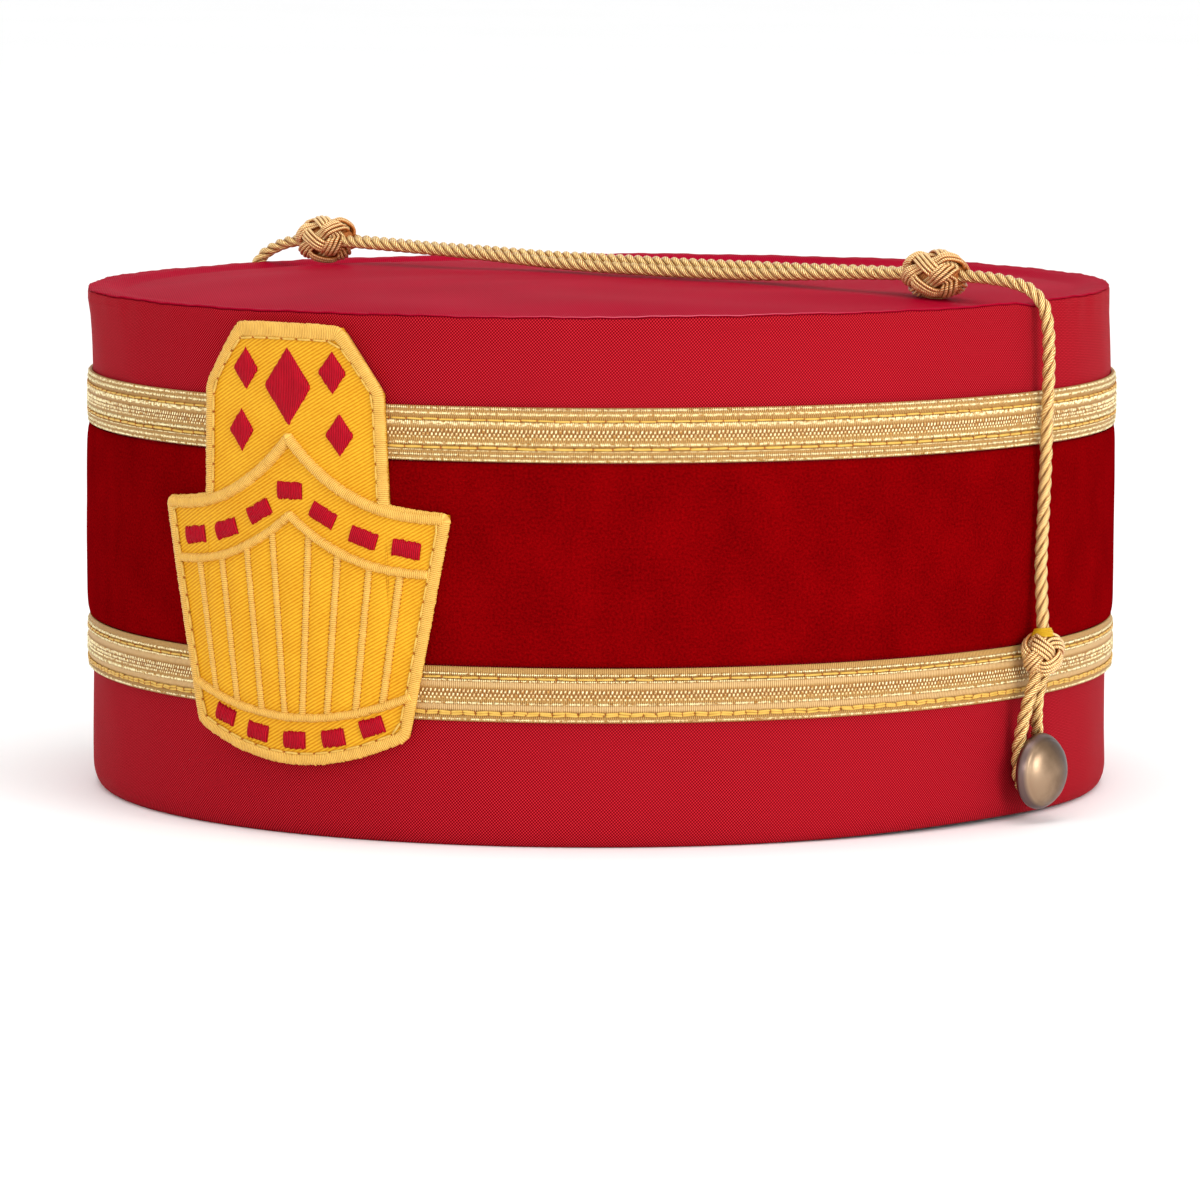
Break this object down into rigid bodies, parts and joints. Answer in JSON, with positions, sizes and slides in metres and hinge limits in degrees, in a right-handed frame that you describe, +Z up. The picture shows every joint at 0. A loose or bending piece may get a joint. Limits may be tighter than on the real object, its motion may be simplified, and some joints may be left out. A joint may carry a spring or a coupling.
{
  "type": "ceremonial crown cap",
  "caption": "Round flat-topped ceremonial cap with a stiff satin wall, a velvet band edged in gold lace, an embroidered front badge, and a twisted gold cord on domed side buttons.",
  "frame": {"origin": "on the surface that the hem stands on, at the middle of the footprint of the cap, badge and buttons", "axes": "+Z up through the top; the badge faces -Y; the wearer's left is +X"},
  "size_m": [0.2028, 0.2002, 0.1015],
  "materials": {
    "satin": "red ribbed satin with a soft sheen",
    "velvet": "deep red cut velvet",
    "lace": "woven metallic gold lace",
    "twill": "yellow diagonal twill",
    "gold_thread": "pale gold satin stitch",
    "red_thread": "red satin stitch",
    "cord": "twisted metallic gold cord",
    "brass": "antique brass, lightly tarnished"
  },
  "bodies": {
    "root": {"crown_wall": "satin", "crown_top": "satin", "velvet_band": "velvet", "lace_lower": "lace", "lace_upper": "lace", "badge_patch": "twill", "badge_braid": "gold_thread", "badge_block_upper_1": "red_thread", "badge_block_upper_2": "red_thread", "badge_block_upper_3": "red_thread", "badge_block_upper_4": "red_thread", "badge_block_upper_5": "red_thread", "badge_block_upper_6": "red_thread", "badge_block_upper_7": "red_thread", "badge_block_lower_1": "red_thread", "badge_block_lower_2": "red_thread", "badge_block_lower_3": "red_thread", "badge_block_lower_4": "red_thread", "badge_block_lower_5": "red_thread", "badge_lozenge_1": "red_thread", "badge_lozenge_2": "red_thread", "badge_lozenge_3": "red_thread", "badge_lozenge_4": "red_thread", "badge_lozenge_5": "red_thread", "button_left": "brass", "button_right": "brass", "cord_rise_left": "cord", "cord_rise_right": "cord", "cord_span_front": "cord", "cord_span_back": "cord", "cord_loop_left": "cord", "cord_loop_right": "cord", "knot_top_left": "cord", "knot_top_right": "cord", "knot_side_left": "cord", "knot_side_right": "cord"}
  },
  "joints": []
}
